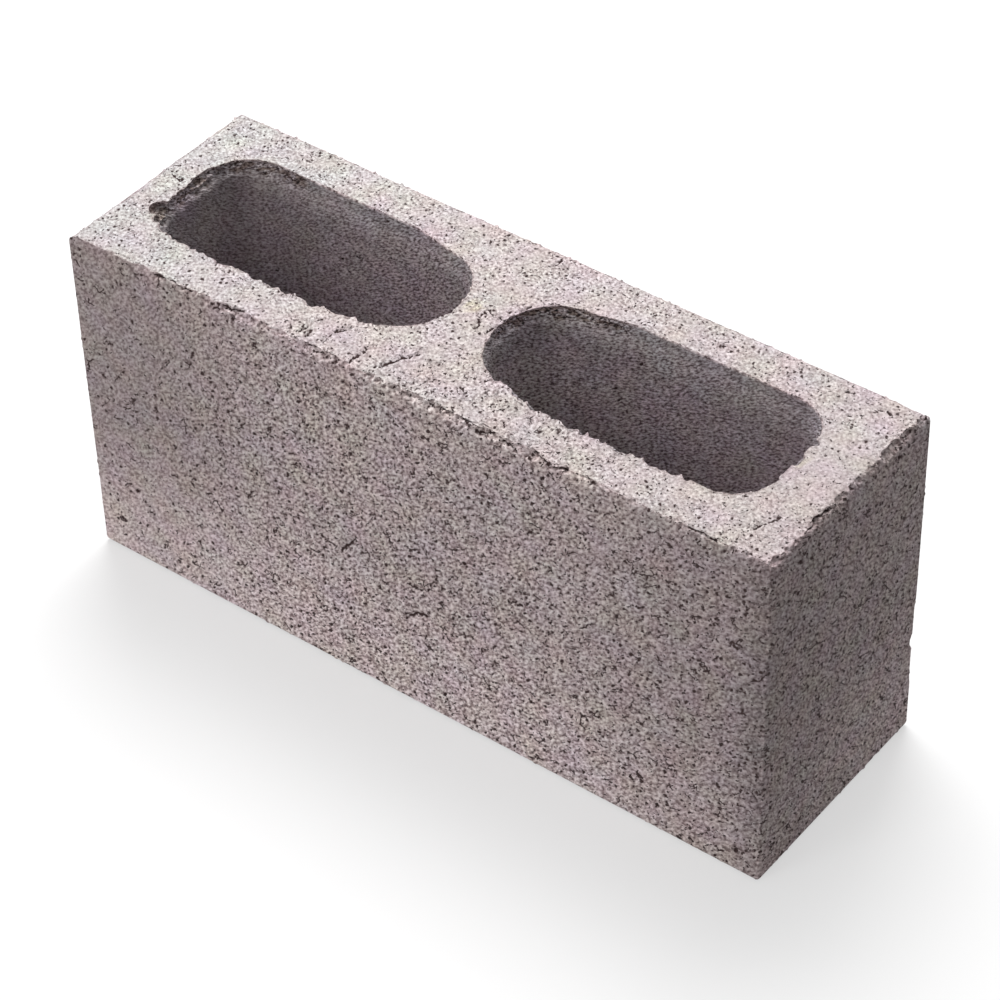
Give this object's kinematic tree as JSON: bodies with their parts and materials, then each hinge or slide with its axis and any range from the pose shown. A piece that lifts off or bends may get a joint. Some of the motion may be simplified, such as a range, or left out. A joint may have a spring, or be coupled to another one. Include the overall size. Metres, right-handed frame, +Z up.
{
  "type": "hollow concrete block",
  "caption": "Hollow concrete building block: a rectangular cast block open from top to bottom between thick face shells and a centre web.",
  "frame": {"origin": "centre of the block's outline on its lower face", "axes": "+X along the length, +Y through the thickness, +Z up, with the tamped face on top"},
  "size_m": [0.44, 0.14, 0.215],
  "materials": {
    "concrete": "rough, porous, dry pressed concrete"
  },
  "bodies": {
    "root": {"hollow_block": "concrete"}
  },
  "joints": []
}
